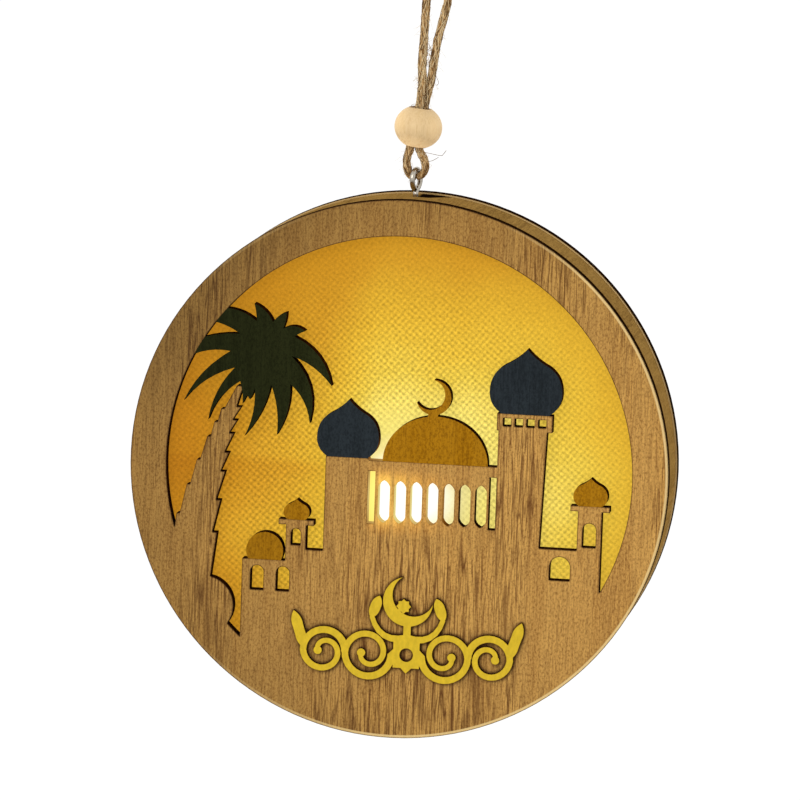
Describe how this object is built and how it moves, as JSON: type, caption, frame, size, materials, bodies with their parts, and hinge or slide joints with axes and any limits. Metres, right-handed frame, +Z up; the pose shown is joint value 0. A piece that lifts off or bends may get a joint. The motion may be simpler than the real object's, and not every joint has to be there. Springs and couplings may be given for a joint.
{
  "type": "hanging light ornament",
  "caption": "Round lit wooden pendant with a palm, domes and towers cut into its front board, hung on a beaded jute cord",
  "frame": {"origin": "the top of the cord loop, on its centreline's inner side just under the knot, where a hook carries the ornament", "axes": "+Z is up, the lit front faces -Y, and +X is to the right of a viewer who looks at the front"},
  "size_m": [0.12, 0.023, 0.1962],
  "materials": {
    "wood_board": "printed wood grain, satin",
    "wood_hoop": "bent veneer, satin",
    "wood_bead": "turned, fine satin",
    "ink_green": "printed ink, matte",
    "ink_navy": "printed ink, matte",
    "ink_ochre": "printed ink, matte",
    "ornament_yellow": "painted, matte",
    "diffuser_cloth": "woven, translucent",
    "nickel": "nickel plated, bright",
    "steel": "plated, satin",
    "cell_can": "stainless, satin",
    "contact_metal": "nickel plated strip",
    "housing_plastic": "moulded, fine texture",
    "switch_black": "moulded",
    "switch_metal": "moulded, dark grey",
    "board_green": "solder mask",
    "led_epoxy": "clear epoxy",
    "resistor_black": "ceramic chip",
    "wire_red": "soft insulation",
    "wire_black": "soft insulation",
    "jute": "twisted jute"
  },
  "bodies": {
    "hanger": {"hanging_cord": "jute", "cord_knot": "jute"},
    "cord_bead": {"bead": "wood_bead"},
    "lamp": {"front_panel": "wood_board", "palm_crown": "ink_green", "navy_domes": "ink_navy", "ochre_domes": "ink_ochre", "scroll_ornament": "ornament_yellow", "diffuser": "diffuser_cloth", "side_hoop": "wood_hoop", "back_panel": "wood_board", "hanger_block": "wood_hoop", "screw_eye": "nickel", "battery_housing": "housing_plastic", "housing_screws": "steel", "coin_cells": "cell_can", "negative_contact": "contact_metal", "positive_contact": "contact_metal", "switch_body": "switch_metal", "switch_screws": "steel", "led_board": "board_green", "led": "led_epoxy", "resistor": "resistor_black", "wire_red": "wire_red", "wire_black": "wire_black"},
    "switch_button": {"switch_slider": "switch_black"},
    "cover": {"battery_cover": "housing_plastic"},
    "captive_screw": {"cover_screw": "steel"}
  },
  "joints": [
    {"name": "lamp_swing", "type": "hinge", "parent": "hanger", "child": "lamp", "pos_m": [-0.003, 0, -0.062], "axis": [1, 0, 0], "range_deg": [-35, 35]},
    {"name": "bead_slide", "type": "slide", "parent": "hanger", "child": "cord_bead", "axis": [0.1414, 0, 0.9899], "range_m": [0, 0.006]},
    {"name": "switch_slide", "type": "slide", "parent": "lamp", "child": "switch_button", "axis": [1, 0, 0], "range_m": [0, 0.003]},
    {"name": "cover_lift", "type": "slide", "parent": "lamp", "child": "cover", "axis": [0, 1, 0], "range_m": [0, 0.01]},
    {"name": "screw_turn", "type": "hinge", "parent": "cover", "child": "captive_screw", "pos_m": [-0.0166, 0.008, -0.156], "axis": [0, 1, 0], "continuous": true}
  ]
}
